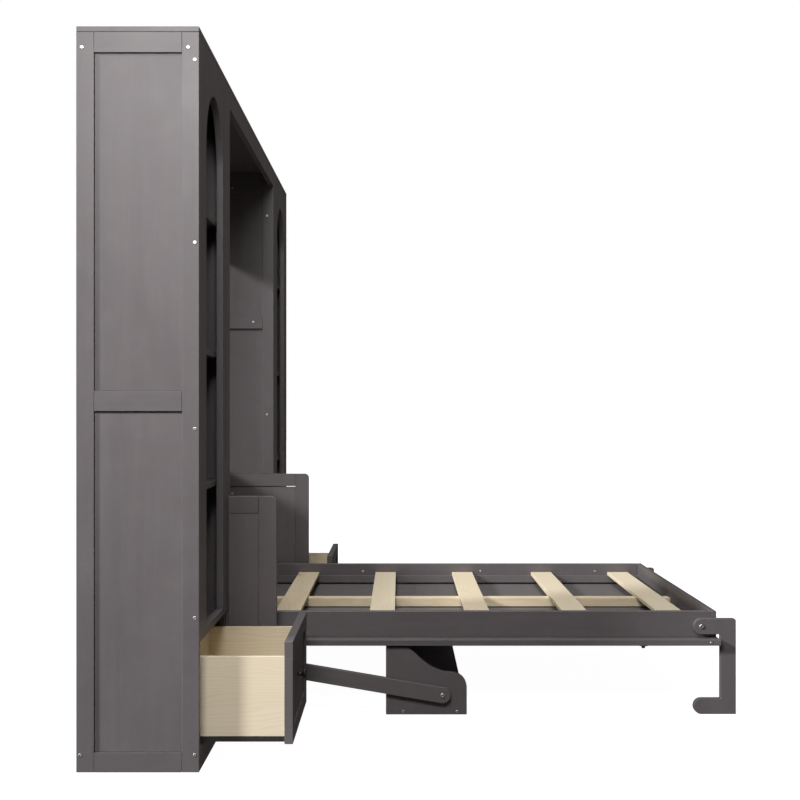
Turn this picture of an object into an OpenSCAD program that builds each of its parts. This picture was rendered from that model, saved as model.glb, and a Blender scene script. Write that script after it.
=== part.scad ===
// Wall bed with a double mattress frame, two arched bookcases, two drawers and a self-levelling desk.
// X runs across the cabinet, -Y is the front (the bed unfolds towards -Y), +Z is up, Z = 0 is the floor.
// Inside the file a place is written as [s, u, z]: s = distance from the left outer face,
// u = distance in front of the cabinet's front plane, z = height above the floor.

/* [Overall] */
// Width over the two bookcases
overall_w = 2920; // [2900:1:2960]
// Height to the top of the top board
overall_h = 2150; // [2150:1:2200]
// Depth of the cabinet, without the bed
cab_d = 354; // [350:1:380]
// Thickness of the top board
top_t = 16; // [12:1:20]

/* [Bookcases] */
// Width of one bookcase over its two sides
book_w = 662; // [650:1:666]
// Thickness of the bookcase sides
side_t = 22; // [18:1:24]
// Thickness of the face boards
face_t = 22; // [18:1:24]
// Width of the arched opening
arch_w = 370; // [340:1:400]
// Height of the top of the arch
arch_top = 2020; // [1990:1:2040]
// Thickness of the shelves
shelf_t = 18; // [15:1:20]
// Thickness of the back panels
back_t = 6; // [4:1:8]
// Thickness of the thin frame infill panels
infill_t = 6; // [4:1:8]

/* [Drawers] */
// How far each drawer slides out
drawer_travel = 266.4; // [200:0.1:280]
// Thickness of the drawer front
drawer_front_t = 25; // [22:1:28]
// Thickness of the drawer box boards
drawer_t = 12; // [10:1:14]
// Diameter of the round knob
knob_d = 28; // [22:1:34]

/* [Bay sides] */
// Thickness of the bay side frames
surround_t = 25; // [22:1:26]
// Height of the deep lower part of the bay sides
arm_h = 752.5; // [740:0.5:760]
// How far the lower part stands out in front of the cabinet
arm_reach = 161; // [150:1:170]

/* [Bed] */
// Height of the bed hinge axis
pivot_z = 284; // [282:1:286]
// Depth of the bed hinge axis behind the front plane
pivot_back = 45; // [44:1:47]
// Thickness of the side, head and foot rails
rail_t = 22; // [20:1:23]
// Number of cross slats
slat_count = 6; // [5:1:6]
// Width of a slat
slat_w = 92; // [70:1:100]
// Thickness of a slat
slat_t = 15; // [12:1:20]
// Distance from one slat to the next
slat_pitch = 345; // [340:1:347]

/* [Desk] */
// Depth of the desk
desk_d = 277; // [270:1:280]
// Height of the desk sides
desk_h = 231; // [225:1:232]
// Thickness of the desk boards
desk_t = 22; // [18:1:22]
// Width of the link arms
link_w = 54; // [50:1:58]

/* [Legs] */
// Width of the leg's bars
leg_w = 54; // [50:1:60]
// Thickness of the legs
leg_t = 23; // [20:1:23]

/* [Hardware] */
// Radius of the bed hinge pin
hinge_r = 8; // [7:0.5:9]
// Radius of the desk and link pivot pins
pin_r = 6; // [5:0.5:7]
// Radius of the visible bolt heads
head_r = 5.5; // [4:0.5:7]
// Radius of the wall anchor holes
anchor_r = 4.5; // [3:0.5:6]

/* [Hidden] */
$fn = 64;

paint = [0.27, 0.25, 0.26];
paint_dark = [0.20, 0.19, 0.20];
pine = [0.87, 0.77, 0.60];
steel = [0.72, 0.72, 0.72];
black = [0.06, 0.06, 0.06];

// the leg's outer edge is the frontmost point, and the cabinet's back is the rearmost
leg_u1 = 1733;
hw = overall_w / 2;
yf = (leg_u1 - cab_d) / 2;
body_h = overall_h - top_t;

// bookcase
in0 = side_t;
in1 = book_w - side_t;
mid_s = book_w / 2;
arch_r = arch_w / 2;
face_z0 = 371;
shelf_tops = [376, 814, 1235, 1664];
shelf_u = -26;

// bay sides
bs0 = book_w;
bs1 = book_w + surround_t;

// bed
rail_s0 = 751;
rail_s1 = rail_s0 + rail_t;
rail_z0 = 260.5;
rail_z1 = 350;
head_u0 = -285;
foot_u1 = 1672;
panel_s0 = 692.5;
panel_z0 = 240.4;
panel_z1 = 260.5;
panel_u0 = -283;
panel_u1 = 1674.6;
slat_z = 313;
slat_u0 = -221;
P = [-pivot_back, pivot_z];

// desk and its parallelogram: bed axis P, desk axis R, link axes Q (cabinet) and S (desk)
R = [551, 183];
S = [724, 72];
Q = S - (R - P);
link_len = norm(S - Q);
link_dip = atan2(Q[1] - S[1], S[0] - Q[0]);
desk_s0 = 711;
desk_s1 = desk_s0 + desk_t;
desk_u0 = 531;
desk_z0 = 2;
link_s0 = 689;
link_s1 = 709;

// legs
leg_s0 = 725;
leg_pivot = [1615, 301];

// drawers, drawn open
open = drawer_travel;
dr_z0 = 68.4;
dr_z1 = 367.8;
box_s0 = 62;
box_s1 = book_w - box_s0;
box_u1 = open - drawer_front_t;
box_u0 = box_u1 - 310;

function bez(a, b, c, d, t) =
    pow(1 - t, 3) * a + 3 * pow(1 - t, 2) * t * b + 3 * (1 - t) * t * t * c + pow(t, 3) * d;

// a board between two corners in [s, u, z]
module board(s, u, z) {
    translate([s[0] - hw, yf - u[1], z[0]]) cube([s[1] - s[0], u[1] - u[0], z[1] - z[0]]);
}

// a round rod along X at [u, z]
module rod_x(s, c, r) {
    translate([s[0] - hw, yf - c[0], c[1]]) rotate([0, 90, 0]) cylinder(r = r, h = s[1] - s[0]);
}

// a round rod along Y at [s, z]
module rod_y(u, c, r) {
    translate([c[0] - hw, yf - u[0], c[1]]) rotate([90, 0, 0]) cylinder(r = r, h = u[1] - u[0]);
}

// a flat profile in the u-z plane, extruded across s
module profile(s, pts) {
    translate([s[1] - hw, yf, 0]) rotate([90, 0, -90]) linear_extrude(height = s[1] - s[0]) polygon(pts);
}

module right() { mirror([1, 0, 0]) children(); }
module both() { children(); mirror([1, 0, 0]) children(); }

// ---------- cabinet ----------

module top_board() {
    color(paint) board([0, overall_w], [-cab_d, 0], [body_h, overall_h]);
}

// stiles and rails of the outer side
module outer_frame() {
    color(paint) union() {
        board([0, side_t], [-cab_d, -303], [0, body_h]);
        board([0, side_t], [-49, 0], [0, body_h]);
        board([0, side_t], [-303, -49], [2075, body_h]);
        board([0, side_t], [-303, -49], [1041, 1100]);
        board([0, side_t], [-303, -49], [0, 57]);
    }
}
module left_outer_frame() { outer_frame(); }
module right_outer_frame() { right() outer_frame(); }

// two thin panels set back from the frame's outer face
module outer_panels() {
    color(paint) {
        board([8, 8 + infill_t], [-303, -49], [57, 1041]);
        board([8, 8 + infill_t], [-303, -49], [1100, 2075]);
    }
}
module left_outer_panels() { outer_panels(); }
module right_outer_panels() { right() outer_panels(); }

module inner_side() {
    color(paint) board([in1, book_w], [-cab_d, 0], [0, body_h]);
}
module left_inner_side() { inner_side(); }
module right_inner_side() { right() inner_side(); }

// face board with a round-topped opening above a narrow sill
module arch_face() {
    color(paint) difference() {
        board([in0, in1], [-face_t, 0], [face_z0, body_h]);
        board([mid_s - arch_r, mid_s + arch_r], [-face_t - 1, 1], [face_z0 + 24, arch_top - arch_r]);
        rod_y([-face_t - 1, 1], [mid_s, arch_top - arch_r], arch_r);
    }
}
module left_arch_face() { arch_face(); }
module right_arch_face() { right() arch_face(); }

// bottom rail and two set-back stiles around the drawer
module base_face() {
    color(paint) union() {
        board([in0, 50], [shelf_u, -8], [64, face_z0]);
        board([book_w - 50, in1], [shelf_u, -8], [64, face_z0]);
        board([in0, in1], [-face_t, 0], [0, 64]);
    }
}
module left_base_face() { base_face(); }
module right_base_face() { right() base_face(); }

module shelves() {
    color(paint_dark) for (z = shelf_tops)
        board([in0, in1], [-cab_d + back_t, shelf_u], [z - shelf_t + (z > 1600 ? 2 : 0), z]);
}
module left_shelves() { shelves(); }
module right_shelves() { right() shelves(); }

module back_panel() {
    color(paint_dark) board([in0, in1], [-cab_d, -cab_d + back_t], [0, body_h]);
}
module left_back_panel() { back_panel(); }
module right_back_panel() { right() back_panel(); }

// low panel behind the head of the bed
module bay_back_panel() {
    color(paint_dark) board([bs1, overall_w - bs1], [-cab_d, -cab_d + 12], [100, 834]);
}

// rail that is screwed to the wall
module wall_rail() {
    color(paint) difference() {
        board([bs1, overall_w - bs1], [-cab_d, -cab_d + 22], [1790, body_h]);
        for (x = [-600, 600], z = [1994, 2094])
            translate([x, yf + cab_d + 1, z]) rotate([90, 0, 0]) cylinder(r = anchor_r, h = 24);
    }
}

module bay_floor_rail() {
    color(paint) board([bs1, overall_w - bs1], [-cab_d, -cab_d + 22], [0, 100]);
}

module bay_header() {
    color(paint) board([bs1, overall_w - bs1], [-face_t, 0], [2070, body_h]);
}

// upper bay side: stiles, top rail and middle rail
module surround_upper() {
    color(paint) union() {
        board([bs0, bs1], [-50, 0], [arm_h, body_h]);
        board([bs0, bs1], [-cab_d, -304], [arm_h, body_h]);
        board([bs0, bs1], [-304, -50], [2036, body_h]);
        board([bs0, bs1], [-304, -50], [1418, 1473]);
    }
}
module left_surround_upper() { surround_upper(); }
module right_surround_upper() { right() surround_upper(); }

// lower bay side: deeper frame whose front stile has a rounded top corner
module surround_lower() {
    color(paint) union() {
        board([bs0, bs1], [-cab_d, -304], [0, arm_h]);
        board([bs0, bs1], [arm_reach - 61, arm_reach], [0, arm_h - 20]);
        board([bs0, bs1], [arm_reach - 61, arm_reach - 20], [arm_h - 21, arm_h]);
        board([bs0, bs1], [-304, arm_reach - 61], [arm_h - 56.5, arm_h]);
        board([bs0, bs1], [-304, arm_reach - 61], [0, 64]);
        rod_x([bs0, bs1], [arm_reach - 20, arm_h - 20], 20);
    }
}
module left_surround_lower() { surround_lower(); }
module right_surround_lower() { right() surround_lower(); }

// infill of the bay side: two thin upper panels and a thick lower board that carries the hinge,
// with a narrow slit under the top rail
module surround_panels() {
    color(paint) {
        board([bs0 + 9.5, bs0 + 9.5 + infill_t], [-304, -50], [arm_h, 1418]);
        board([bs0 + 9.5, bs0 + 9.5 + infill_t], [-304, -50], [1473, 2036]);
        board([bs0 + 3.5, bs1 - 3.5], [-304, arm_reach - 61], [64, arm_h - 60]);
    }
}
module left_surround_panels() { surround_panels(); }
module right_surround_panels() { right() surround_panels(); }

// cabinet half of the bed hinge: plate, spacer collar and pin
module hinge_plate() {
    color(black) union() {
        board([bs1 - 3.5, bs1 + 4], [-105, 25], [226, 350]);
        rod_x([bs1 + 3, 744], P, 15);
        rod_x([bs1 + 3, 771], P, hinge_r);
    }
}
module left_hinge_plate() { hinge_plate(); }
module right_hinge_plate() { right() hinge_plate(); }

// pivot bolts of the link arms and the visible bolt heads of the cabinet
module cabinet_bolts() {
    color(steel) both() {
        rod_x([bs1, 709.5], Q, pin_r);
        rod_x([709.5, 714], Q, 9);
        for (c = [[-338, 2090], [-31, 2090], [-12, 2054], [-12, 1527], [-12, 990], [-12, 445], [-12, 50], [-342, 50]])
            rod_x([-1.6, 0], c, head_r);
        for (c = [[-92, 1448], [-30, 1025], [-30, 1936], [-189, 2063]])
            rod_x([bs1, bs1 + 1.6], c, head_r);
        rod_x([bs1 - 3.5, bs1 - 1.9], [-189.5, 662], head_r);
        for (c = [[8, 336], [8, 240], [-90, 336], [-90, 240]])
            rod_x([bs1 + 4, bs1 + 5.2], c, 4.5);
    }
}

// ledges under the drawer runners
module drawer_guides() {
    color(black) both() {
        board([in0, 78], [-cab_d + back_t, shelf_u], [55, 72.7]);
        board([book_w - 78, in1], [-cab_d + back_t, shelf_u], [55, 72.7]);
    }
}

// ---------- bed ----------

module side_rail() {
    color(paint) difference() {
        board([rail_s0, rail_s1], [head_u0, foot_u1 - 20], [rail_z0, rail_z1]);
        rod_x([rail_s0 - 1, rail_s1 + 1], P, hinge_r + 2);
        rod_x([rail_s0 - 1, rail_s1 - 1.5], leg_pivot, 5.1);
    }
}
module left_side_rail() { side_rail(); }
module right_side_rail() { right() side_rail(); }

module head_rail() {
    color(paint) board([rail_s1, overall_w - rail_s1], [head_u0, head_u0 + 22], [rail_z0, rail_z1]);
}

module foot_rail() {
    color(paint) board([rail_s0, overall_w - rail_s0], [foot_u1 - 20, foot_u1], [rail_z0, rail_z1]);
}

module slat_ledgers() {
    color(paint) both()
        board([rail_s1, rail_s1 + 20], [head_u0 + 22, foot_u1 - 20], [slat_z - slat_t - 30, slat_z - slat_t]);
}

module centre_beam() {
    color(pine) board([hw - 28, hw + 28], [head_u0 + 22, foot_u1 - 20], [slat_z - slat_t - 34, slat_z - slat_t]);
}

module slats() {
    color(pine) for (i = [0:slat_count - 1]) {
        u = slat_u0 + i * slat_pitch + (i > 3 ? 11.5 : 0);
        board([rail_s1 + 2, overall_w - rail_s1 - 2], [u, u + slat_w], [slat_z - slat_t, slat_z]);
    }
}

// wide front panel: long stiles, centre stile, cross rails and the end batten
module front_panel_frame() {
    color(paint) union() {
        both() board([panel_s0, panel_s0 + 90], [panel_u0, panel_u1], [panel_z0, panel_z1]);
        board([hw - 45, hw + 45], [panel_u0, panel_u1], [panel_z0, panel_z1]);
        for (u = [panel_u0, 650, panel_u1 - 116])
            board([panel_s0 + 80, overall_w - panel_s0 - 80], [u, u + (u > 1000 ? 116 : 90)], [panel_z0, panel_z1]);
    }
}

module front_panel_infill() {
    color(paint) both() for (u = [[panel_u0 + 90, 650], [740, panel_u1 - 116]])
        board([panel_s0 + 90, hw - 45], u, [panel_z1 - 6, panel_z1]);
}

// two low round pulls under the panel near its foot end
module pull_handles() {
    color(black) both() translate([711 - hw, yf - 1412, 229.5]) union() {
        cylinder(r = 6, h = panel_z0 - 229.5);
        translate([0, 0, panel_z0 - 232.5]) cylinder(r = 17, h = 3);
    }
}

// bed half of the hinge, on the outside of each side rail
module bed_hinge_plates() {
    color(black) both() difference() {
        board([rail_s0 - 5, rail_s0], [-105, 40], [rail_z0 + 2, rail_z1 - 2]);
        rod_x([rail_s0 - 6, rail_s0 + 1], P, hinge_r + 0.05);
    }
}

// brackets and pins that the desk hangs on
module desk_brackets() {
    color(black) both() union() {
        board([desk_s1 + 2, desk_s1 + 6], [R[0] - 20, R[0] + 20], [R[1], panel_z0]);
        rod_x([desk_s1 + 2, desk_s1 + 6], R, 20);
        board([desk_s1 + 2, desk_s1 + 42], [R[0] - 35, R[0] + 35], [panel_z0 - 3, panel_z0]);
        rod_x([desk_s0 + 4, desk_s1 + 4], R, pin_r);
    }
}

// leg pivot bolts and the visible bolt heads of the bed
module bed_bolts() {
    color(steel) both() {
        rod_x([leg_s0 - 5, leg_s0], leg_pivot, 9);
        rod_x([leg_s0 - 1, rail_s1 - 2], leg_pivot, 5);
        for (c = [[412, 316.5], [944, 316.5], [1462, 316.5]])
            rod_x([rail_s1, rail_s1 + 1.6], c, head_r);
        rod_x([panel_s0 - 1.6, panel_s0], [1641, 250], head_r);
        for (c = [[-90, 330], [-90, 275], [25, 330], [25, 275]])
            rod_x([rail_s0 - 6.6, rail_s0 - 5], c, 4.5);
    }
}

// ---------- desk ----------

module desk_top() {
    color(paint) board([desk_s1, overall_w - desk_s1], [desk_u0 + 18, desk_u0 + desk_d], [desk_z0, desk_z0 + 20]);
}

// side with a square back and a swept front
module desk_side() {
    e = desk_u0 + desk_d;
    t = desk_z0 + desk_h;
    color(paint) difference() {
        profile([desk_s0, desk_s1], concat(
            [[desk_u0, desk_z0], [desk_u0, t]],
            [for (i = [0:12]) bez([602, t], [640, t - 18], [670, 150], [755, 147], i / 12)],
            [for (i = [1:8]) bez([755, 147], [785, 145], [e - 2, 125], [e, 97], i / 8)],
            [[e, desk_z0]]));
        rod_x([desk_s0 + 3.5, desk_s1 + 1], R, pin_r + 0.05);
    }
}
module left_desk_side() { desk_side(); }
module right_desk_side() { right() desk_side(); }

module desk_back_rail() {
    color(paint) board([desk_s1, overall_w - desk_s1], [desk_u0, desk_u0 + 18], [desk_z0, 150]);
}

// link pivot bolts and visible bolt heads on the desk sides
module desk_bolts() {
    color(steel) both() {
        rod_x([link_s0 - 1, desk_s0], S, pin_r);
        rod_x([link_s0 - 5, link_s0 - 1], S, 9);
        for (c = [[590, 12], [774.5, 12]])
            rod_x([desk_s0 - 1.6, desk_s0], c, head_r);
    }
}

// ---------- links ----------

// arm with round ends: a running bore at the cabinet end, a free hole at the desk end
module link_arm() {
    h = link_w / 2;
    function turn(c, a) = [c[0] + h * cos(a), c[1] + h * sin(a)];
    color(paint) difference() {
        profile([link_s0, link_s1], concat(
            [for (i = [0:24]) turn(S, -link_dip - 90 + i * 7.5)],
            [for (i = [0:24]) turn(Q, -link_dip + 90 + i * 7.5)]));
        rod_x([link_s0 - 1, link_s1 + 1], Q, pin_r + 0.05);
        rod_x([link_s0 - 1, link_s1 + 1], S, pin_r + 0.5);
    }
}
module left_link_arm() { link_arm(); }
module right_link_arm() { right() link_arm(); }

// ---------- legs ----------

// C-shaped leg: round pivot end, upright and round-toed foot
module leg() {
    h = leg_w / 2;
    s = [leg_s0, leg_s0 + leg_t];
    color(paint) difference() {
        union() {
            rod_x(s, leg_pivot, h);
            board(s, [leg_pivot[0], leg_u1 - 8], [leg_pivot[1] - h, leg_pivot[1] + h]);
            board(s, [1680, leg_u1], [0, leg_pivot[1] + h - 8]);
            rod_x(s, [leg_u1 - 8, leg_pivot[1] + h - 8], 8);
            board(s, [1615, 1681], [0, leg_w]);
            rod_x(s, [1615, h], h);
        }
        rod_x([leg_s0 - 1, leg_s0 + leg_t + 1], leg_pivot, 5.05);
    }
}
module left_leg() { leg(); }
module right_leg() { right() leg(); }

// ---------- drawers ----------

// frame-and-panel front: full-width rails, short stiles, set-back centre
module drawer_front() {
    u0 = open - drawer_front_t;
    a = 51.5;
    b = book_w - 51.5;
    color(paint) union() {
        board([a, b], [u0, open], [dr_z1 - 48, dr_z1]);
        board([a, b], [u0, open], [dr_z0, dr_z0 + 46]);
        board([a, a + 48], [u0, open], [dr_z0 + 46, dr_z1 - 48]);
        board([b - 48, b], [u0, open], [dr_z0 + 46, dr_z1 - 48]);
        board([a + 48, b - 48], [u0, open - 7], [dr_z0 + 46, dr_z1 - 48]);
    }
}
module left_drawer_front() { drawer_front(); }
module right_drawer_front() { right() drawer_front(); }

module drawer_box() {
    color(pine) union() {
        board([box_s0, box_s0 + drawer_t], [box_u0, box_u1], [89, 323]);
        board([box_s1 - drawer_t, box_s1], [box_u0, box_u1], [89, 323]);
        board([box_s0 + drawer_t, box_s1 - drawer_t], [box_u0, box_u0 + drawer_t], [89, 323]);
        board([box_s0 + drawer_t, box_s1 - drawer_t], [box_u0 + drawer_t, box_u1], [93, 101]);
    }
}
module left_drawer_box() { drawer_box(); }
module right_drawer_box() { right() drawer_box(); }

module drawer_runners() {
    color(black) {
        board([box_s0, box_s0 + drawer_t], [box_u0, box_u1], [73, 89]);
        board([box_s1 - drawer_t, box_s1], [box_u0, box_u1], [73, 89]);
    }
}
module left_drawer_runners() { drawer_runners(); }
module right_drawer_runners() { right() drawer_runners(); }

// turned knob on the set-back centre of the front
module drawer_knob() {
    color(black) translate([mid_s - hw, yf - (open - 7), (dr_z0 + dr_z1) / 2]) rotate([90, 0, 0])
        rotate_extrude() polygon([[0, 0], [8, 0], [6, 5], [5.5, 12], [9, 16], [knob_d / 2, 19], [knob_d / 2, 23],
            [knob_d / 2 - 3, 26], [0, 27]]);
}
module left_drawer_knob() { drawer_knob(); }
module right_drawer_knob() { right() drawer_knob(); }

top_board();
left_outer_frame();
right_outer_frame();
left_outer_panels();
right_outer_panels();
left_inner_side();
right_inner_side();
left_arch_face();
right_arch_face();
left_base_face();
right_base_face();
left_shelves();
right_shelves();
left_back_panel();
right_back_panel();
bay_back_panel();
wall_rail();
bay_floor_rail();
bay_header();
left_surround_upper();
right_surround_upper();
left_surround_lower();
right_surround_lower();
left_surround_panels();
right_surround_panels();
left_hinge_plate();
right_hinge_plate();
cabinet_bolts();
drawer_guides();
left_side_rail();
right_side_rail();
head_rail();
foot_rail();
slat_ledgers();
centre_beam();
slats();
front_panel_frame();
front_panel_infill();
pull_handles();
bed_hinge_plates();
desk_brackets();
bed_bolts();
desk_top();
left_desk_side();
right_desk_side();
desk_back_rail();
desk_bolts();
left_link_arm();
right_link_arm();
left_leg();
right_leg();
left_drawer_front();
left_drawer_box();
left_drawer_runners();
left_drawer_knob();
right_drawer_front();
right_drawer_box();
right_drawer_runners();
right_drawer_knob();
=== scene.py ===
import math
import random

import bmesh
import bpy
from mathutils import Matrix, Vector


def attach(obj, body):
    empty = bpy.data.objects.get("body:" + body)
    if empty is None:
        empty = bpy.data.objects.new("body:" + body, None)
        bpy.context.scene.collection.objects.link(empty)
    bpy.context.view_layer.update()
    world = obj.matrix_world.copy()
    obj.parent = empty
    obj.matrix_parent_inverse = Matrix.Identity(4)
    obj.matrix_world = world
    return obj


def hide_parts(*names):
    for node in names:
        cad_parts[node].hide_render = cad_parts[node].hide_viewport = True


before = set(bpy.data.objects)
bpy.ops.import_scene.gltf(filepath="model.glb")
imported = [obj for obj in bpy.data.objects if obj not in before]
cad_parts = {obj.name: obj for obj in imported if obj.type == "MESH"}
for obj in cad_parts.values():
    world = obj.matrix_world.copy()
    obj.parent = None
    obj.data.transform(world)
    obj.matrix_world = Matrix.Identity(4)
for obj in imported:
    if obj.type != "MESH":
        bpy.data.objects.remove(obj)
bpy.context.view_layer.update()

# ------------------------------------------------------------------ places
# s: mm from the left outer face, u: mm in front of the cabinet front, z: mm above the floor
W = 2920.0
HW = W / 2
YF = 689.5


def P3(s, u, z):
    return Vector(((s - HW) / 1000, (YF - u) / 1000, z / 1000))


# ------------------------------------------------------------------ materials
def new_mat(name):
    m = bpy.data.materials.new(name)
    m.use_nodes = True
    nt = m.node_tree
    nt.nodes.clear()
    out = nt.nodes.new("ShaderNodeOutputMaterial")
    bsdf = nt.nodes.new("ShaderNodeBsdfPrincipled")
    nt.links.new(bsdf.outputs["BSDF"], out.inputs["Surface"])
    return m, nt, bsdf


class G:
    """Small helper for wiring shader nodes."""

    def __init__(self, nt):
        self.nt = nt

    def node(self, kind, **kw):
        n = self.nt.nodes.new(kind)
        for k, v in kw.items():
            setattr(n, k, v)
        return n

    def put(self, sock, val):
        if isinstance(val, bpy.types.NodeSocket):
            self.nt.links.new(val, sock)
        else:
            sock.default_value = val

    def attr(self, name, out="Fac"):
        n = self.node("ShaderNodeAttribute", attribute_type="GEOMETRY", attribute_name=name)
        return n.outputs[out]

    def math(self, op, a, b=0.0, c=0.0, clamp=False):
        n = self.node("ShaderNodeMath", operation=op, use_clamp=clamp)
        self.put(n.inputs[0], a)
        self.put(n.inputs[1], b)
        self.put(n.inputs[2], c)
        return n.outputs[0]

    def vmul(self, v, s):
        n = self.node("ShaderNodeVectorMath", operation="MULTIPLY")
        self.put(n.inputs[0], v)
        self.put(n.inputs[1], s)
        return n.outputs[0]

    def vadd(self, v, s):
        n = self.node("ShaderNodeVectorMath", operation="ADD")
        self.put(n.inputs[0], v)
        self.put(n.inputs[1], s)
        return n.outputs[0]

    def noise(self, vec, scale=1.0, detail=3.0, rough=0.55, dist=0.0, out="Fac"):
        n = self.node("ShaderNodeTexNoise")
        self.put(n.inputs["Vector"], vec)
        n.inputs["Scale"].default_value = scale
        n.inputs["Detail"].default_value = detail
        n.inputs["Roughness"].default_value = rough
        n.inputs["Distortion"].default_value = dist
        return n.outputs[out]

    def ramp(self, fac, stops, interp="LINEAR"):
        n = self.node("ShaderNodeValToRGB")
        n.color_ramp.interpolation = interp
        els = n.color_ramp.elements
        while len(els) < len(stops):
            els.new(0.5)
        for e, (p, c) in zip(els, stops):
            e.position = p
            e.color = (c[0], c[1], c[2], 1.0) if not isinstance(c, float) else (c, c, c, 1.0)
        self.put(n.inputs["Fac"], fac)
        return n.outputs["Color"]

    def mix(self, fac, a, b, blend="MIX"):
        n = self.node("ShaderNodeMix", data_type="RGBA", blend_type=blend)
        self.put(n.inputs["Factor"], fac)
        self.put(n.inputs["A"], a)
        self.put(n.inputs["B"], b)
        return [o for o in n.outputs if o.type == "RGBA"][0]

    def maprange(self, v, a, b, c, d, smooth=False):
        n = self.node("ShaderNodeMapRange", interpolation_type="SMOOTHSTEP" if smooth else "LINEAR")
        self.put(n.inputs["Value"], v)
        for k, x in zip(("From Min", "From Max", "To Min", "To Max"), (a, b, c, d)):
            n.inputs[k].default_value = x
        return n.outputs["Result"]

    def bump(self, height, dist, strength=1.0, normal=None):
        n = self.node("ShaderNodeBump")
        n.inputs["Strength"].default_value = strength
        n.inputs["Distance"].default_value = dist
        self.put(n.inputs["Height"], height)
        if normal is not None:
            self.put(n.inputs["Normal"], normal)
        return n.outputs["Normal"]


def paint_material(name, dark, light, worn_and_highlight, rough=0.42, grain_bump=0.00018):
    """Satin paint brushed on planed wood: the grain prints through, and the bevelled edges are a little lighter,
    partly rubbed wear and partly a painted highlight.
    """
    m, nt, b = new_mat(name)
    g = G(nt)
    gr = g.attr("grain", "Vector")
    tone = g.attr("tone")
    rim = g.attr("rim")
    broad = g.noise(g.vmul(gr, (0.9, 11.0, 11.0)), 1.0, 4.0, 0.6, 0.6)
    fine = g.noise(g.vmul(gr, (7.0, 230.0, 230.0)), 1.0, 3.0, 0.62, 0.2)
    pores = g.noise(g.vmul(gr, (26.0, 620.0, 620.0)), 1.0, 2.0, 0.7)
    mott = g.noise(g.vmul(gr, (3.4, 3.4, 3.4)), 1.0, 5.0, 0.62, 0.4)
    v = g.math("MULTIPLY_ADD", broad, 0.55, g.math("MULTIPLY", fine, 0.22))
    v = g.math("MULTIPLY_ADD", mott, 0.30, v)
    v = g.math("MULTIPLY_ADD", tone, 0.055, v)
    base = g.ramp(v, [(0.30, dark), (0.80, light)])
    dust = g.maprange(g.noise(g.vmul(gr, (14, 14, 14)), 1.0, 6.0, 0.7), 0.45, 0.75, 0.0, 1.0, True)
    base = g.mix(g.math("MULTIPLY", dust, 0.10), base, (worn_and_highlight[0], worn_and_highlight[1], worn_and_highlight[2], 1.0))
    # painted highlight and wear: bevel faces mixed towards the lighter colour in noisy patches, standing partly
    # for rubbed paint and partly for light catching the bevels
    edge_patches = g.maprange(g.noise(g.vmul(gr, (30, 90, 90)), 1.0, 4.0, 0.65), 0.40, 0.68, 0.25, 1.0, True)
    edge_wear_and_highlight = g.math("MULTIPLY", rim, g.math("MULTIPLY", edge_patches, 0.26))
    base = g.mix(edge_wear_and_highlight, base, (worn_and_highlight[0], worn_and_highlight[1], worn_and_highlight[2], 1.0))
    g.put(b.inputs["Base Color"], base)
    r = g.maprange(mott, 0.25, 0.75, rough - 0.07, rough + 0.08)
    r = g.math("MULTIPLY_ADD", fine, 0.08, r)
    g.put(b.inputs["Roughness"], r)
    b.inputs["Specular IOR Level"].default_value = 0.42
    h = g.math("MULTIPLY_ADD", fine, 0.7, g.math("MULTIPLY", pores, 0.3))
    h = g.math("MULTIPLY_ADD", broad, 0.5, h)
    g.put(b.inputs["Normal"], g.bump(h, grain_bump, 0.7))
    return m


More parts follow.
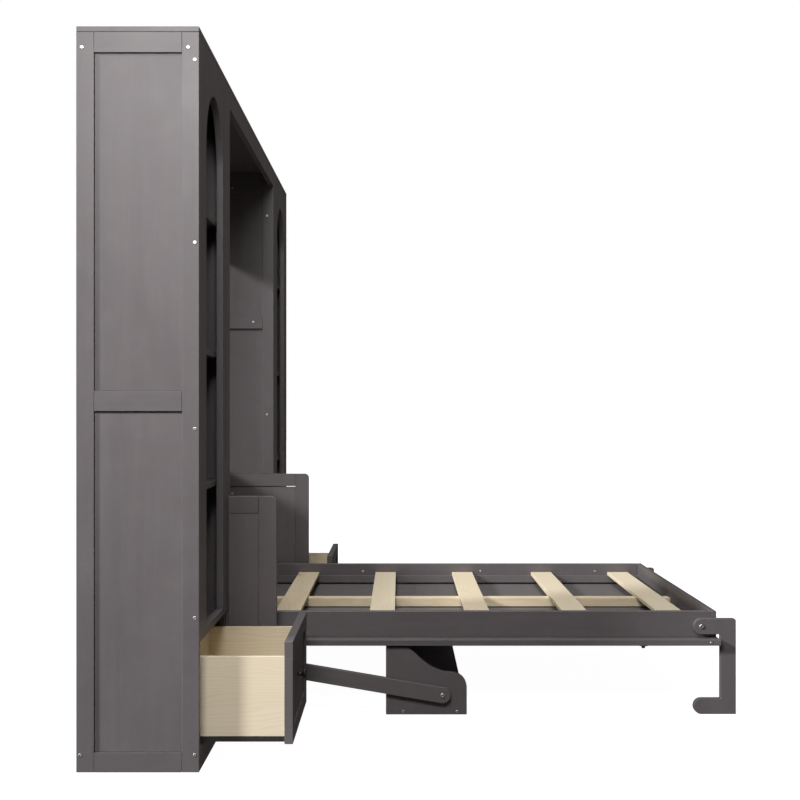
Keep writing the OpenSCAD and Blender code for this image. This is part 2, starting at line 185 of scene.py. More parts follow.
def pine_material():
    """Planed pine: growth-ring figure along the board, fine pores, a few small knots."""
    m, nt, b = new_mat("pine_wood")
    g = G(nt)
    gr = g.attr("grain", "Vector")
    tone = g.attr("tone")
    rim = g.attr("rim")
    warp = g.noise(g.vmul(gr, (1.3, 7.0, 7.0)), 1.0, 3.0, 0.55, 0.0, "Color")
    wv = g.vadd(g.vmul(gr, (0.55, 20.0, 20.0)), g.vmul(g.vadd(warp, (-0.5, -0.5, -0.5)), (1.0, 3.4, 3.4)))
    # knots: sparse cells, long along the board
    vor = g.node("ShaderNodeTexVoronoi", feature="F1", voronoi_dimensions="3D")
    g.put(vor.inputs["Vector"], g.vmul(gr, (4.3, 10.5, 10.5)))
    vor.inputs["Scale"].default_value = 1.0
    vor.inputs["Randomness"].default_value = 1.0
    kd = vor.outputs["Distance"]
    keep = g.node("ShaderNodeSeparateColor")
    g.put(keep.inputs[0], vor.outputs["Color"])
    some = g.math("GREATER_THAN", keep.outputs[0], 0.84)
    knot = g.math("MULTIPLY", g.maprange(kd, 0.055, 0.115, 1.0, 0.0, True), some)
    halo = g.math("MULTIPLY", g.maprange(kd, 0.08, 0.42, 1.0, 0.0, True), some)
    bend = g.node("ShaderNodeCombineXYZ")
    g.put(bend.inputs[1], g.math("MULTIPLY", halo, 1.6))
    wv = g.vadd(wv, bend.outputs[0])
    wave = g.node("ShaderNodeTexWave", wave_type="BANDS", bands_direction="Y", wave_profile="SIN")
    g.put(wave.inputs["Vector"], wv)
    wave.inputs["Scale"].default_value = 1.25
    wave.inputs["Distortion"].default_value = 1.4
    wave.inputs["Detail"].default_value = 2.0
    wave.inputs["Detail Scale"].default_value = 0.7
    ring = g.math("POWER", wave.outputs["Fac"], 2.2)
    fine = g.noise(g.vmul(gr, (6.0, 260.0, 260.0)), 1.0, 3.0, 0.6)
    broad = g.noise(g.vmul(gr, (0.8, 6.0, 6.0)), 1.0, 4.0, 0.6, 0.5)
    v = g.math("MULTIPLY_ADD", ring, 0.10, g.math("MULTIPLY", fine, 0.18))
    v = g.math("MULTIPLY_ADD", broad, 0.30, v)
    v = g.math("MULTIPLY_ADD", tone, 0.09, v)
    base = g.ramp(v, [(0.10, (0.84, 0.745, 0.565)), (0.29, (0.79, 0.685, 0.50)), (0.52, (0.70, 0.56, 0.35))])
    base = g.mix(g.math("MULTIPLY", halo, 0.28), base, (0.55, 0.34, 0.16, 1.0))
    base = g.mix(g.math("MULTIPLY", knot, 0.82), base, (0.20, 0.095, 0.04, 1.0))
    # painted highlight: bevel faces mixed towards a paler pine colour
    base = g.mix(g.math("MULTIPLY", rim, 0.16), base, (0.90, 0.80, 0.63, 1.0))
    g.put(b.inputs["Base Color"], base)
    g.put(b.inputs["Roughness"], g.maprange(v, 0.2, 0.9, 0.62, 0.50))
    b.inputs["Specular IOR Level"].default_value = 0.30
    h = g.math("MULTIPLY_ADD", fine, 0.8, g.math("MULTIPLY", ring, -0.35))
    g.put(b.inputs["Normal"], g.bump(h, 0.00022, 0.7))
    return m


def metal_material(name, col, rough, metallic, speck):
    m, nt, b = new_mat(name)
    g = G(nt)
    gr = g.attr("grain", "Vector")
    n1 = g.noise(g.vmul(gr, (60, 60, 60)), 1.0, 5.0, 0.6)
    n2 = g.noise(g.vmul(gr, (900, 900, 900)), 1.0, 2.0, 0.6)
    lo = tuple(c * 0.82 for c in col)
    hi = tuple(min(1.0, c * 1.16) for c in col)
    base = g.ramp(n1, [(0.3, lo), (0.7, hi)])
    # painted highlight: bevels, chamfers and bolt crowns mixed towards a brighter colour
    rim = g.attr("rim")
    base = g.mix(g.math("MULTIPLY", rim, 0.35), base, tuple(min(1.0, c * 1.5 + 0.02) for c in col) + (1.0,))
    g.put(b.inputs["Base Color"], base)
    b.inputs["Metallic"].default_value = metallic
    g.put(b.inputs["Roughness"], g.maprange(n1, 0.3, 0.7, rough - 0.06, rough + 0.08))
    g.put(b.inputs["Normal"], g.bump(n2, speck, 0.6))
    return m


PAINT_DARK = (0.112, 0.101, 0.104)
PAINT_LIGHT = (0.152, 0.139, 0.142)
# lighter colour for dust flecks, rubbed edges and the painted highlight on bevels
PAINT_WORN_AND_HIGHLIGHT = (0.24, 0.22, 0.222)
MATS = {
    "painted_wood": paint_material("painted_wood_v", PAINT_DARK, PAINT_LIGHT, PAINT_WORN_AND_HIGHLIGHT),
    "painted_panel": paint_material("painted_panel_v", tuple(c * 1.02 for c in PAINT_DARK), tuple(c * 1.04 for c in PAINT_LIGHT), PAINT_WORN_AND_HIGHLIGHT, 0.45, 0.00014),
    "pine": pine_material(),
    "bolt_steel": metal_material("bolt_steel_v", (0.55, 0.55, 0.56), 0.42, 1.0, 0.00004),
    "black_steel": metal_material("black_steel_v", (0.030, 0.030, 0.032), 0.48, 0.0, 0.00010),
    "black_metal": metal_material("black_metal_v", (0.022, 0.022, 0.024), 0.34, 0.0, 0.00005),
    "black_plastic": metal_material("black_plastic_v", (0.026, 0.026, 0.027), 0.55, 0.0, 0.00006),
}


# ------------------------------------------------------------------ mesh building
class Piece:
    def __init__(self, name):
        self.name = name
        self.rnd = random.Random(sum((i + 7) * ord(c) for i, c in enumerate(name)))
        self.v, self.f = [], []
        self.grain, self.tone = [], []
        self.rim, self.smooth = [], []

    def take(self, bm, axis, rim_faces=(), smooth=False, wide=None):
        """Adds a finished bmesh; the grain runs along axis, and each board has its own place in the figure."""
        co = [v.co.copy() for v in bm.verts]
        lo = Vector([min(c[i] for c in co) for i in range(3)])
        hi = Vector([max(c[i] for c in co) for i in range(3)])
        mid = (lo + hi) / 2
        dims = hi - lo
        rest = [i for i in range(3) if i != axis]
        rest.sort(key=lambda i: -dims[i])
        off = Vector((self.rnd.uniform(-9, 9), self.rnd.uniform(-9, 9), self.rnd.uniform(-9, 9)))
        flip = self.rnd.choice((-1, 1))
        t = self.rnd.uniform(-1, 1)
        base = len(self.v)
        bm.verts.index_update()
        rims = set(rim_faces)
        for c in co:
            p = c - mid
            self.v.append(tuple(c))
            self.grain.append((flip * p[axis] + off.x, p[rest[0]] + off.y, p[rest[1]] + off.z))
            self.tone.append(t)
        for face in bm.faces:
            self.f.append([base + v.index for v in face.verts])
            self.rim.append(1.0 if face in rims else 0.0)
            self.smooth.append(smooth)
        bm.free()

    def board(self, s0, s1, u0, u1, z0, z1, axis="z", bev=1.1, seg=2):
        lo, hi = P3(s0, u1, z0), P3(s1, u0, z1)
        bm = bmesh.new()
        vs = [bm.verts.new((x, y, z)) for x in (lo.x, hi.x) for y in (lo.y, hi.y) for z in (lo.z, hi.z)]
        for q in ((0, 1, 3, 2), (4, 6, 7, 5), (0, 4, 5, 1), (2, 3, 7, 6), (0, 2, 6, 4), (1, 5, 7, 3)):
            bm.faces.new([vs[i] for i in q])
        bmesh.ops.recalc_face_normals(bm, faces=bm.faces[:])
        small = min((hi - lo)[:]) * 1000
        bev = min(bev, small * 0.3)
        made = bmesh.ops.bevel(bm, geom=bm.edges[:], offset=bev / 1000, offset_type="OFFSET", segments=seg, profile=0.5, affect="EDGES", clamp_overlap=True)
        self.take(bm, "xyz".index(axis), made["faces"])

    def prism(self, pts, a, b, plane, axis="z", bev=1.1, seg=2, sharp=0.45):
        """A flat outline extruded: plane 'uz' across s from a to b, 'sz' across u from a to b."""
        bm = bmesh.new()
        if plane == "uz":
            f0 = [bm.verts.new(P3(a, p[0], p[1])) for p in pts]
            f1 = [bm.verts.new(P3(b, p[0], p[1])) for p in pts]
        else:
            f0 = [bm.verts.new(P3(p[0], a, p[1])) for p in pts]
            f1 = [bm.verts.new(P3(p[0], b, p[1])) for p in pts]
        n = len(pts)
        caps = [bm.faces.new(f0), bm.faces.new(f1)]
        for i in range(n):
            bm.faces.new([f0[i], f0[(i + 1) % n], f1[(i + 1) % n], f1[i]])
        bmesh.ops.recalc_face_normals(bm, faces=bm.faces[:])
        edges = [e for e in bm.edges if len(e.link_faces) == 2 and e.calc_face_angle() > sharp]
        made = bmesh.ops.bevel(bm, geom=edges, offset=bev / 1000, offset_type="OFFSET", segments=seg, profile=0.5, affect="EDGES", clamp_overlap=True)
        self.take(bm, "xyz".index(axis), made["faces"])

    def lathe(self, rings, origin, direction, segs=32, hexes=(), rim_rings=()):
        """rings: (radius mm, height mm) from the base outward; direction: unit axis. hexes: ring numbers drawn as a hexagon."""
        bm = bmesh.new()
        d = Vector(direction).normalized()
        side = Vector((0, 0, 1)) if abs(d.z) < 0.9 else Vector((1, 0, 0))
        e1 = d.cross(side).normalized()
        e2 = d.cross(e1).normalized()
        o = Vector(origin)
        loops = []
        for k, (r, h) in enumerate(rings):
            if r <= 1e-6:
                loops.append([bm.verts.new(o + d * h / 1000)])
                continue
            ring = []
            for i in range(segs):
                a = 2 * math.pi * i / segs
                rr = r
                if k in hexes:
                    rr = r * math.cos(math.pi / 6) / math.cos((a % (math.pi / 3)) - math.pi / 6)
                ring.append(bm.verts.new(o + (e1 * math.cos(a) + e2 * math.sin(a)) * rr / 1000 + d * h / 1000))
            loops.append(ring)
        rims = []
        for k in range(len(loops) - 1):
            a, b = loops[k], loops[k + 1]
            for i in range(segs):
                j = (i + 1) % segs
                if len(a) == 1 and len(b) == 1:
                    continue
                if len(a) == 1:
                    f = bm.faces.new([a[0], b[i], b[j]])
                elif len(b) == 1:
                    f = bm.faces.new([a[i], b[0], a[j]])
                else:
                    f = bm.faces.new([a[i], b[i], b[j], a[j]])
                if k in rim_rings:
                    rims.append(f)
        for end in (loops[0], loops[-1]):
            if len(end) > 1:
                bm.faces.new(end)
        bmesh.ops.recalc_face_normals(bm, faces=bm.faces[:])
        self.take(bm, 2, rims, smooth=True)

    def rod(self, s0, s1, u, z, r, cham=0.8, segs=32):
        h = s1 - s0
        c = min(cham, r * 0.3, h * 0.3)
        self.lathe([(r - c, 0), (r, c), (r, h - c), (r - c, h)], P3(s0, u, z), (1, 0, 0), segs, (), (0, 2))

    def bolt(self, s, way, u, z, r, h):
        """Low round socket-head bolt on the face at s; way is +1 or -1 along s."""
        self.lathe(
            [(r, 0), (r, h * 0.40), (r * 0.965, h * 0.62), (r * 0.87, h * 0.84), (r * 0.72, h * 0.97), (r * 0.60, h), (r * 0.46, h), (r * 0.43, h * 0.93), (r * 0.43, h * 0.28), (0, h * 0.22)],
            P3(s, u, z), (way, 0, 0), 24, (6, 7, 8), (2, 3))

    def build(self, body, slot, nodes, auto=40):
        me = bpy.data.meshes.new(self.name)
        me.from_pydata(self.v, [], self.f)
        me.update()
        a = me.attributes.new("grain", "FLOAT_VECTOR", "POINT")
        a.data.foreach_set("vector", [x for g in self.grain for x in g])
        a = me.attributes.new("tone", "FLOAT", "POINT")
        a.data.foreach_set("value", self.tone)
        a = me.attributes.new("rim", "FLOAT", "FACE")
        a.data.foreach_set("value", self.rim)
        me.polygons.foreach_set("use_smooth", self.smooth)
        me.validate()
        if any(self.smooth):
            me.set_sharp_from_angle(angle=math.radians(auto))
        me.materials.append(MATS[slot])
        o = bpy.data.objects.new(self.name, me)
        bpy.context.scene.collection.objects.link(o)
        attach(o, body)
        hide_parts(*nodes)
        return o


class Mirror:
    """Writes the same boards on the other side of the object."""

    def __init__(self, piece, on):
        self.p, self.on = piece, on

    def board(self, s0, s1, *rest, **kw):
        if self.on:
            s0, s1 = W - s1, W - s0
        self.p.board(s0, s1, *rest, **kw)

    def prism(self, pts, a, b, plane, **kw):
        if self.on and plane == "uz":
            a, b = W - b, W - a
        elif self.on:
            pts = [(W - p[0], p[1]) for p in pts]
        self.p.prism(pts, a, b, plane, **kw)

    def rod(self, s0, s1, *rest, **kw):
        if self.on:
            s0, s1 = W - s1, W - s0
        self.p.rod(s0, s1, *rest, **kw)

    def bolt(self, s, way, *rest):
        if self.on:
            s, way = W - s, -way
        self.p.bolt(s, way, *rest)

    def lathe(self, rings, s, u, z, direction, *rest, **kw):
        if self.on:
            s = W - s
        self.p.lathe(rings, P3(s, u, z), direction, *rest, **kw)


def arc(cx, cy, r, a0, a1, n):
    return [(cx + r * math.cos(math.radians(a0 + (a1 - a0) * i / n)), cy + r * math.sin(math.radians(a0 + (a1 - a0) * i / n))) for i in range(n + 1)]


def bez(a, b, c, d, n, first=0):
    out = []
    for i in range(first, n + 1):
        t = i / n
        out.append(tuple((1 - t) ** 3 * a[k] + 3 * (1 - t) ** 2 * t * b[k] + 3 * (1 - t) * t * t * c[k] + t ** 3 * d[k] for k in (0, 1)))
    return out


AXP = (-45.0, 284.0)
AXR = (551.0, 183.0)
AXS = (724.0, 72.0)
AXQ = (AXS[0] - (AXR[0] - AXP[0]), AXS[1] - (AXR[1] - AXP[1]))
LEGP = (1615.0, 301.0)
OPEN = 266.4
BODY_H = 2134.0
CAB = 354.0
SIDES = (("left_", False), ("right_", True))


def make(name, body, slot, draw, nodes=None):
    p = Piece("vis_" + name)
    draw(p)
    return p.build(body, slot, nodes or [name])


# ------------------------------------------------------------------ cabinet
make("top_board", "cabinet", "painted_wood", lambda p: p.board(0, W, -CAB, 0, BODY_H + 0.7, 2150, "x", 1.2))


def outer_frame(m):
    m.board(0, 22, -CAB, -303, 0, BODY_H, "z")
    m.board(0, 22, -49, 0, 0, BODY_H, "z", bev=1.4)
    m.board(0, 22, -302.3, -49.7, 2075, BODY_H, "y", bev=0.9)
    m.board(0, 22, -302.3, -49.7, 1041, 1100, "y", bev=0.9)
    m.board(0, 22, -302.3, -49.7, 0, 57, "y", bev=0.9)


def outer_panels(m):
    m.board(8, 14, -302.0, -49.6, 57.6, 1040.2, "z", bev=0.6)
    m.board(8, 14, -302.0, -49.6, 1100.6, 2074.2, "z", bev=0.6)


def inner_side(m):
    m.board(640, 662, -CAB, 0, 0, BODY_H, "z", bev=1.4)


def arch_face(m):
    pts = [(22, 371.6), (146, 371.6)] + [(146, 1600), (146, 1835)] + arc(331, 1835, 185, 180, 0, 48)[1:-1] + [(516, 1835), (516, 1600), (516, 371.6), (640, 371.6), (640, BODY_H), (22, BODY_H)]
    m.prism(pts, -22, 0, "sz", axis="z", bev=1.2)
    m.board(146.5, 515.5, -22, 0, 371.6, 395, "x")


def base_face(m):
    m.board(22, 50, -26, -8, 64.6, 371, "z")
    m.board(612, 640, -26, -8, 64.6, 371, "z")
    m.board(22, 640, -22, 0, 0, 64, "x")


def shelves(m):
    for z, h in ((376, 18), (814, 18), (1235, 18), (1664, 16)):
        m.board(22, 640, -CAB + 6, -26, z - h, z, "x", bev=1.1)


def surround_upper(m):
    m.board(662, 687, -50, 0, 753.2, BODY_H, "z", bev=1.3)
    m.board(662, 687, -CAB, -304, 753.2, BODY_H, "z")
    m.board(662, 687, -303.4, -50.6, 2036, BODY_H, "y")
    m.board(662, 687, -303.4, -50.6, 1418, 1473, "y")


def surround_lower(m):
    m.board(662, 687, -CAB, -304, 0, 752.5, "z")
    m.prism([(100, 0), (161, 0), (161, 732.5)] + arc(141, 732.5, 20, 0, 90, 14)[1:] + [(100, 752.5)], 662, 687, "uz", axis="z", bev=1.3)
    m.board(662, 687, -303.4, 99.4, 696, 752.5, "y", bev=1.3)
    m.board(662, 687, -303.4, 99.4, 0, 64, "y")


def surround_panels(m):
    m.board(671.5, 677.5, -303.4, -50.4, 753, 1417.5, "z", bev=0.6)
    m.board(671.5, 677.5, -303.4, -50.4, 1473.5, 2035.5, "z", bev=0.6)
    # the thick lower infill is glued up from four boards
    cuts = [-303.2, -202, -101, 0, 99.4]
    for a, b in zip(cuts, cuts[1:]):
        m.board(665.5, 683.5, a, b, 64.5, 692.5, "z", bev=0.7)


def hinge_plate(m):
    m.board(683.5, 691, -105, 25, 226, 350, "z", bev=1.6, seg=3)
    m.rod(690.5, 744, AXP[0], AXP[1], 15, 1.5, 40)
    m.rod(743, 771, AXP[0], AXP[1], 8, 1.0, 32)


for side, on in SIDES:
    for name, slot, fn in (
        ("outer_frame", "painted_wood", outer_frame),
        ("outer_panels", "painted_panel", outer_panels),
        ("inner_side", "painted_wood", inner_side),
        ("arch_face", "painted_wood", arch_face),
        ("base_face", "painted_wood", base_face),
        ("shelves", "painted_wood", shelves),
        ("surround_upper", "painted_wood", surround_upper),
        ("surround_lower", "painted_wood", surround_lower),
        ("surround_panels", "painted_panel", surround_panels),
        ("hinge_plate", "black_steel", hinge_plate),
    ):
        make(side + name, "cabinet", slot, lambda p, fn=fn, on=on: fn(Mirror(p, on)))
    make(side + "back_panel", "cabinet", "painted_panel", lambda p, on=on: Mirror(p, on).board(22, 640, -CAB, -CAB + 6, 0, BODY_H, "z", bev=0.6))

make("bay_back_panel", "cabinet", "painted_panel", lambda p: p.board(687, W - 687, -CAB, -CAB + 12, 100.5, 834, "x", bev=1.0))


def wall_rail(p):
    """Long rail with four real anchor holes: built as a plate with round openings."""
    s0, s1, u0, u1, z0, z1 = 687, W - 687, -CAB, -CAB + 22, 1790, BODY_H
    bm = bmesh.new()
    lo, hi = P3(s0, u1, z0), P3(s1, u0, z1)
    holes = [(x, z) for x in (-600, 600) for z in (1994, 2094)]
    # each hole gets a square cell around it, and strips fill the rest
    n = 24
    for y, out in ((lo.y, -1), (hi.y, 1)):
        xs = [lo.x * 1000, -640, -560, 560, 640, hi.x * 1000]
        zs = [z0, 1974, 2014, 2074, 2114, z1]
        grid = {}

        def vert(x, z, y=y, grid=grid):
            k = (round(x, 4), round(z, 4))
            if k not in grid:
                grid[k] = bm.verts.new((x / 1000, y, z / 1000))
            return grid[k]

        for i in range(5):
            for j in range(5):
                x0, x1, a0, a1 = xs[i], xs[i + 1], zs[j], zs[j + 1]
                inside = [h for h in holes if x0 < h[0] < x1 and a0 < h[1] < a1]
                if not inside:
                    bm.faces.new([vert(x0, a0), vert(x1, a0), vert(x1, a1), vert(x0, a1)])
                    continue
                hx, hz = inside[0]
                ring = [bm.verts.new(((hx + 4.5 * math.cos(2 * math.pi * (k + 0.5) / n)) / 1000, y, (hz + 4.5 * math.sin(2 * math.pi * (k + 0.5) / n)) / 1000)) for k in range(n)]
                corners = [vert(x1, a1), vert(x0, a1), vert(x0, a0), vert(x1, a0)]
                q = n // 4
                for c in range(4):
                    part = [ring[(c * q + k) % n] for k in range(q)]
                    for k in range(q - 1):
                        bm.faces.new([corners[c], part[k], part[k + 1]])
                    bm.faces.new([corners[c], part[-1], ring[((c + 1) * q) % n], corners[(c + 1) % 4]])
                bm.faces.ensure_lookup_table()
                holes_rings.setdefault((hx, hz), []).append(ring)
    bmesh.ops.remove_doubles(bm, verts=bm.verts[:], dist=1e-7)
    for rings in holes_rings.values():
        a, b = rings
        for k in range(n):
            bm.faces.new([a[k], a[(k + 1) % n], b[(k + 1) % n], b[k]])
    edges = [e for e in bm.edges if len(e.link_faces) == 1]
    bmesh.ops.bridge_loops(bm, edges=edges)
    bmesh.ops.recalc_face_normals(bm, faces=bm.faces[:])
    sharp = [e for e in bm.edges if len(e.link_faces) == 2 and e.calc_face_angle() > 0.6]
    made = bmesh.ops.bevel(bm, geom=sharp, offset=0.0008, offset_type="OFFSET", segments=1, profile=0.5, affect="EDGES", clamp_overlap=True)
    p.take(bm, 0, made["faces"])


holes_rings = {}
make("wall_rail", "cabinet", "painted_wood", wall_rail)
make("bay_floor_rail", "cabinet", "painted_wood", lambda p: p.board(687, W - 687, -CAB, -CAB + 22, 0, 100, "x"))
make("bay_header", "cabinet", "painted_wood", lambda p: p.board(687, W - 687, -22, 0, 2070, BODY_H, "x", bev=1.4))


def cabinet_bolts(p):
    for _, on in SIDES:
        m = Mirror(p, on)
        m.rod(687, 709.5, AXQ[0], AXQ[1], 6)
        m.bolt(709.5, 1, AXQ[0], AXQ[1], 9, 4.5)
        for u, z in ((-338, 2090), (-31, 2090), (-12, 2054), (-12, 1527), (-12, 990), (-12, 445), (-12, 50), (-342, 50)):
            m.bolt(0, -1, u, z, 5.5, 1.6)
        for u, z in ((-92, 1448), (-30, 1025), (-30, 1936), (-189, 2063)):
            m.bolt(687, 1, u, z, 5.5, 1.6)
        m.bolt(683.5, 1, -189.5, 662, 5.5, 1.6)
        for u, z in ((8, 336), (8, 240), (-90, 336), (-90, 240)):
            m.bolt(691, 1, u, z, 4.5, 1.2)


make("cabinet_bolts", "cabinet", "bolt_steel", cabinet_bolts)


def drawer_guides(p):
    for _, on in SIDES:
        m = Mirror(p, on)
        m.board(22, 78, -CAB + 6, -26, 55, 72.7, "y", bev=0.8)
        m.board(584, 640, -CAB + 6, -26, 55, 72.7, "y", bev=0.8)


make("drawer_guides", "cabinet", "black_plastic", drawer_guides)

# ------------------------------------------------------------------ bed
for side, on in SIDES:
    make(side + "side_rail", "bed", "painted_wood", lambda p, on=on: Mirror(p, on).board(751, 773, -285, 1651.4, 260.5, 350, "y", bev=1.8))
make("head_rail", "bed", "painted_wood", lambda p: p.board(773, W - 773, -285, -263, 260.5, 350, "x", bev=1.8))
make("foot_rail", "bed", "painted_wood", lambda p: p.board(751, W - 751, 1652, 1672, 260.5, 350, "x", bev=1.8))


def ledgers(p):
    for _, on in SIDES:
        Mirror(p, on).board(773, 793, -263, 1652, 268, 298, "y", bev=0.5)


make("slat_ledgers", "bed", "painted_wood", ledgers)
make("centre_beam", "bed", "pine", lambda p: p.board(1432, 1488, -263, 1652, 264, 298, "y", bev=1.5))


def slats(p):
    for u in (-221, 124, 469, 814, 1170.5, 1515.5):
        p.board(775, W - 775, u, u + 92, 298, 313, "x", bev=2.0, seg=3)


make("slats", "bed", "pine", slats)


def panel_frame(p):
    for _, on in SIDES:
        Mirror(p, on).board(692.5, 782.5, -283, 1648, 240.4, 260.5, "y")
    p.board(692.5, W - 692.5, 1648.6, 1674.6, 240.4, 260.5, "x", bev=1.4)
    for u0, u1 in ((-283, -193), (650, 740), (1558.6, 1648)):
        p.board(783.2, W - 783.2, u0, u1, 240.4, 260.5, "x")
    p.board(1415, 1505, -193, 650, 240.4, 260.5, "y")
    p.board(1415, 1505, 740, 1558.6, 240.4, 260.5, "y")


make("front_panel_frame", "bed", "painted_wood", panel_frame)


def panel_infill(p):
    for _, on in SIDES:
        m = Mirror(p, on)
        m.board(782.5, 1415, -193, 650, 254.5, 260.5, "y", bev=0.6)
        m.board(782.5, 1415, 740, 1558.6, 254.5, 260.5, "y", bev=0.6)


make("front_panel_infill", "bed", "painted_panel", panel_infill)


def handles(p):
    for _, on in SIDES:
        Mirror(p, on).lathe(
            [(0, 0), (3.2, 0), (5.0, 0.5), (6, 1.7), (6, 5.2), (6.4, 6.4), (7.4, 7.6), (9.4, 8.1), (15.2, 8.5), (16.6, 9.0), (17, 9.9), (17, 10.9)],
            711, 1412, 229.5, (0, 0, 1), 40)


make("pull_handles", "bed", "black_metal", handles)


def bed_plates(p):
    for _, on in SIDES:
        Mirror(p, on).board(746, 751, -105, 40, 262.5, 348, "y", bev=1.2, seg=3)


make("bed_hinge_plates", "bed", "black_steel", bed_plates)


def desk_brackets(p):
    for _, on in SIDES:
        m = Mirror(p, on)
        R = AXR
        pts = [(R[0] - 20, 237.4), (R[0] - 20, R[1])] + arc(R[0], R[1], 20, 180, 360, 24)[1:-1] + [(R[0] + 20, R[1]), (R[0] + 20, 237.4)]
        m.prism(pts, 735, 739, "uz", bev=0.8)
        m.board(735, 775, R[0] - 35, R[0] + 35, 237.4, 240.4, "y", bev=0.8)
        m.rod(715, 735, R[0], R[1], 6)


make("desk_brackets", "bed", "black_steel", desk_brackets)


def bed_bolts(p):
    for _, on in SIDES:
        m = Mirror(p, on)
        m.bolt(725, -1, LEGP[0], LEGP[1], 9, 5)
        m.rod(725, 771, LEGP[0], LEGP[1], 5)
        for u in (412, 944, 1462):
            m.bolt(773, 1, u, 316.5, 5.5, 1.6)
        m.bolt(692.5, -1, 1641, 250, 5.5, 1.6)
        for u, z in ((-90, 330), (-90, 275), (25, 330), (25, 275)):
            m.bolt(746, -1, u, z, 4.5, 1.6)


make("bed_bolts", "bed", "bolt_steel", bed_bolts)

# ------------------------------------------------------------------ desk
make("desk_top", "desk", "painted_wood", lambda p: p.board(733, W - 733, 549, 808, 2, 22, "x", bev=1.3))


def desk_side(m):
    pts = [(531, 2), (531, 233)] + bez((602, 233), (640, 215), (670, 150), (755, 147), 28) + bez((755, 147), (785, 145), (806, 125), (808, 97), 18, 1) + [(808, 2)]
    m.prism(pts, 711, 733, "uz", axis="z", bev=1.6)


def link_arm(m):
    dip = math.degrees(math.atan2(AXQ[1] - AXS[1], AXS[0] - AXQ[0]))
    pts = arc(AXS[0], AXS[1], 27, -dip - 90, -dip + 90, 32) + arc(AXQ[0], AXQ[1], 27, -dip + 90, -dip + 270, 32)
    m.prism(pts, 689, 709, "uz", axis="y", bev=1.8)


for side, on in SIDES:
    make(side + "desk_side", "desk", "painted_wood", lambda p, on=on: desk_side(Mirror(p, on)))
    make(side + "link_arm", side + "link", "painted_wood", lambda p, on=on: link_arm(Mirror(p, on)))
make("desk_back_rail", "desk", "painted_wood", lambda p: p.board(733, W - 733, 531, 549, 2, 150, "x", bev=1.3))


def desk_bolts(p):
    for _, on in SIDES:
        m = Mirror(p, on)
        m.rod(688, 711, AXS[0], AXS[1], 6)
        m.bolt(688, -1, AXS[0], AXS[1], 9, 4)
        for u in (590, 774.5):
            m.bolt(711, -1, u, 12, 5.5, 1.6)


make("desk_bolts", "desk", "bolt_steel", desk_bolts)


# ------------------------------------------------------------------ legs
def leg(m):
    pu, pz = LEGP
    pts = (
        [(1733, 0)] + arc(1725, 320, 8, 0, 90, 8)
        + arc(pu, pz, 27, 90, 270, 36)
        + [(1680, 274), (1680, 54)]
        + arc(1615, 27, 27, 90, 270, 36)
    )
    m.prism(pts, 725, 748, "uz", axis="z", bev=1.8)


for side, on in SIDES:
    make(side + "leg", side + "leg_body", "painted_wood", lambda p, on=on: leg(Mirror(p, on)))


# ------------------------------------------------------------------ drawers
def drawer_front(m):
    a, b, u0 = 51.5, 610.5, OPEN - 25
    m.board(a, b, u0, OPEN, 319.8, 367.8, "x", bev=1.3)
    m.board(a, b, u0, OPEN, 68.4, 114.4, "x", bev=1.3)
    m.board(a, a + 48, u0, OPEN, 114.4, 319.8, "z", bev=1.3)
    m.board(b - 48, b, u0, OPEN, 114.4, 319.8, "z", bev=1.3)
    m.board(a + 48, b - 48, u0, OPEN - 7, 114.4, 319.8, "x", bev=0.8)


def drawer_box(m):
    u1 = OPEN - 25
    u0 = u1 - 310
    m.board(62, 74, u0, u1, 89, 323, "y", bev=1.0)
    m.board(588, 600, u0, u1, 89, 323, "y", bev=1.0)
    m.board(74, 588, u0, u0 + 12, 89, 323, "x", bev=1.0)
    m.board(74, 588, u0 + 12, u1, 93, 101, "x", bev=0.5)


def drawer_runners(m):
    u1 = OPEN - 25
    for s in (62, 588):
        m.board(s, s + 12, u1 - 310, u1, 73, 89, "y", bev=0.8)


def knob(p, on):
    s = W - 331 if on else 331
    rings = [(8, 0), (8, 0.6), (6.6, 2.4), (5.9, 5), (5.5, 9), (5.7, 12), (6.8, 14), (9, 16), (11.6, 17.6), (13.3, 18.8), (14, 20.4), (14, 22), (13.4, 23.8), (12.0, 25.2), (9.4, 26.2), (6, 26.8), (2.5, 27), (0, 27)]
    p.lathe(rings, P3(s, OPEN - 7, 218.1), (0, -1, 0), 48)


for side, on in SIDES:
    body = side + "drawer"
    make(side + "drawer_front", body, "painted_wood", lambda p, on=on: drawer_front(Mirror(p, on)))
    make(side + "drawer_box", body, "pine", lambda p, on=on: drawer_box(Mirror(p, on)))
    make(side + "drawer_runners", body, "black_plastic", lambda p, on=on: drawer_runners(Mirror(p, on)))
    make(side + "drawer_knob", body, "black_metal", lambda p, on=on: knob(p, on))

# ------------------------------------------------------------------ stage
fm, fnt, fb = new_mat("floor_v")
fg = G(fnt)
geo = fg.node("ShaderNodeNewGeometry")
cloud = fg.noise(fg.vmul(geo.outputs["Position"], (0.5, 0.5, 0.5)), 1.0, 3.0)
fg.put(fb.inputs["Base Color"], fg.ramp(cloud, [(0.3, (0.34, 0.34, 0.34)), (0.7, (0.36, 0.36, 0.36))]))
fb.inputs["Roughness"].default_value = 0.9
fb.inputs["Specular IOR Level"].default_value = 0.0
fb.inputs["Emission Color"].default_value = (1, 1, 1, 1)
fb.inputs["Emission Strength"].default_value = 0.98
fme = bpy.data.meshes.new("floor")
fme.from_pydata([(-40, -40, 0), (40, -40, 0), (40, 40, 0), (-40, 40, 0)], [], [(0, 1, 2, 3)])
fme.materials.append(fm)
floor = bpy.data.objects.new("floor", fme)
bpy.context.scene.collection.objects.link(floor)
floor.location.z = -0.0005
floor.visible_diffuse = False
floor.visible_glossy = False


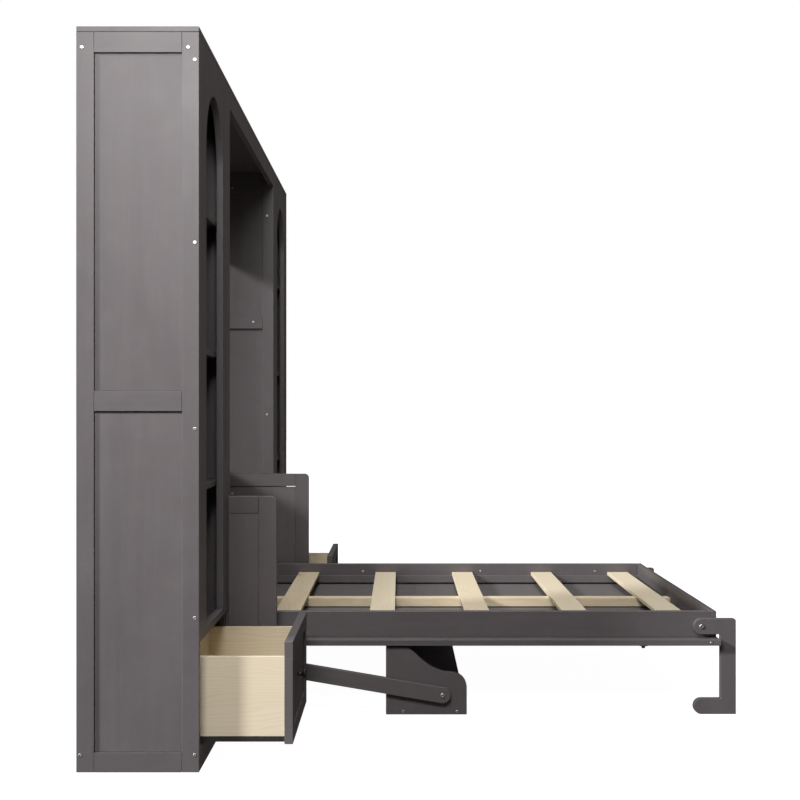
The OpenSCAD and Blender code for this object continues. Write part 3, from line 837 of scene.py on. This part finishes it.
def area(name, loc, target, sx, sy, power, color=(1, 1, 1)):
    d = bpy.data.lights.new(name, "AREA")
    d.shape = "RECTANGLE"
    d.size, d.size_y = sx, sy
    d.energy = power
    d.color = color
    o = bpy.data.objects.new(name, d)
    bpy.context.scene.collection.objects.link(o)
    o.location = loc
    o.rotation_mode = "QUATERNION"
    o.rotation_quaternion = (Vector(target) - Vector(loc)).to_track_quat("-Z", "Y")
    return o


area("key", (-3.96, 0.66, 2.90), (-1.25, 0.58, 1.02), 1.4, 1.0, 95, (1.0, 0.99, 0.985))
area("top", (0.0, 0.62, 4.60), (0.0, 0.40, 0.0), 3.0, 1.3, 96)
sd = bpy.data.lights.new("rear", "SUN")
sd.energy = 2.95
sd.angle = math.radians(8)
rear = bpy.data.objects.new("rear", sd)
bpy.context.scene.collection.objects.link(rear)
rear.location = (-2.0, 4.0, 4.0)
rear.rotation_mode = "QUATERNION"
rear.rotation_quaternion = Vector((1.0, -2.0, -1.06)).to_track_quat("-Z", "Y")

world = bpy.data.worlds.new("world")
bpy.context.scene.world = world
world.use_nodes = True
wnt = world.node_tree
wnt.nodes.clear()
wo = wnt.nodes.new("ShaderNodeOutputWorld")
seen = wnt.nodes.new("ShaderNodeBackground")
seen.inputs["Color"].default_value = (1, 1, 1, 1)
seen.inputs["Strength"].default_value = 1.0
fill = wnt.nodes.new("ShaderNodeBackground")
fill.inputs["Color"].default_value = (1.0, 0.91, 0.89, 1)
fill.inputs["Strength"].default_value = 0.095
lp = wnt.nodes.new("ShaderNodeLightPath")
mx = wnt.nodes.new("ShaderNodeMixShader")
wnt.links.new(lp.outputs["Is Camera Ray"], mx.inputs[0])
wnt.links.new(fill.outputs[0], mx.inputs[1])
wnt.links.new(seen.outputs[0], mx.inputs[2])
wnt.links.new(mx.outputs[0], wo.inputs["Surface"])

# ------------------------------------------------------------------ camera
cd = bpy.data.cameras.new("cam")
cd.sensor_width = 36.0
cd.lens = 1310.2 * 36.0 / 800.0
cd.shift_x = 0.000625
cd.shift_y = 0.012875
cam = bpy.data.objects.new("cam", cd)
bpy.context.scene.collection.objects.link(cam)
cam.location = (-1.460 - 3.774, (YF - 577.5) / 1000, 1.0435)
cam.rotation_euler = (math.radians(90), 0, math.radians(-90))
bpy.context.scene.camera = cam
bpy.context.scene.view_settings.view_transform = "Standard"
